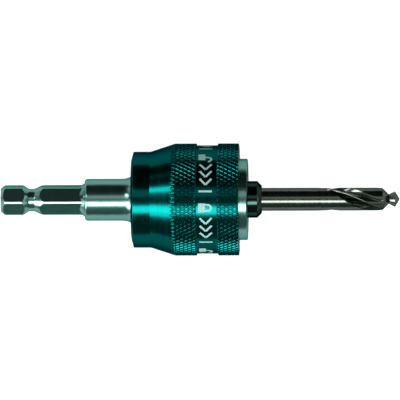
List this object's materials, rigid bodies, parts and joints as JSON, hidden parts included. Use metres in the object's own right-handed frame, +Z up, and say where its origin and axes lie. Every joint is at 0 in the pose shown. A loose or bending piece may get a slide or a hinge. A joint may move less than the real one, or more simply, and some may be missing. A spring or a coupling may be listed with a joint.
{
  "type": "hole saw arbor",
  "caption": "Quick-change hole saw arbor with a hexagonal shank, a knurled pull-back sleeve, ball lock and a stepped pilot drill.",
  "frame": {"origin": "centre of the saw seat, where the arbor's axis meets the hub's front face", "axes": "+X along the arbor's axis towards the drill's point, +Z up, away from the surface that the sleeve lies on"},
  "size_m": [0.1245, 0.035, 0.035],
  "materials": {
    "plated_steel": "polished nickel plate",
    "blackened_steel": "glossy black oxide",
    "drill_steel": "ground high speed steel",
    "anodised_aluminium": "glossy teal anodising",
    "hardened_steel": "ground",
    "spring_steel": "oiled"
  },
  "bodies": {
    "body": {"arbor_body": "plated_steel", "drill_holder": "blackened_steel", "holder_screw": "blackened_steel", "pilot_drill": "drill_steel", "drill_clip": "spring_steel", "spring_washer": "hardened_steel", "retaining_ring": "spring_steel", "return_spring": "spring_steel"},
    "sleeve": {"lock_sleeve": "anodised_aluminium", "cam_ring": "hardened_steel"},
    "ball_1": {"lock_ball_1": "hardened_steel"},
    "ball_2": {"lock_ball_2": "hardened_steel"},
    "ball_3": {"lock_ball_3": "hardened_steel"}
  },
  "joints": [
    {"name": "sleeve_slide", "type": "slide", "parent": "body", "child": "sleeve", "axis": [-1, 0, 0], "range_m": [0, 0.004], "stiffness_N_per_m": 1500, "springref_m": -0.008, "deforming": ["return_spring"]},
    {"name": "ball_1_slide", "type": "slide", "parent": "body", "child": "ball_1", "axis": [0, 0, 1], "range_m": [0, 0.00108]},
    {"name": "ball_2_slide", "type": "slide", "parent": "body", "child": "ball_2", "axis": [0, -0.866, -0.5], "range_m": [0, 0.00108]},
    {"name": "ball_3_slide", "type": "slide", "parent": "body", "child": "ball_3", "axis": [0, 0.866, -0.5], "range_m": [0, 0.00108]}
  ],
  "couplings": [
    {"joint": "ball_1_slide", "follows": "sleeve_slide", "ratio": 0.26795},
    {"joint": "ball_2_slide", "follows": "sleeve_slide", "ratio": 0.26795},
    {"joint": "ball_3_slide", "follows": "sleeve_slide", "ratio": 0.26795}
  ]
}
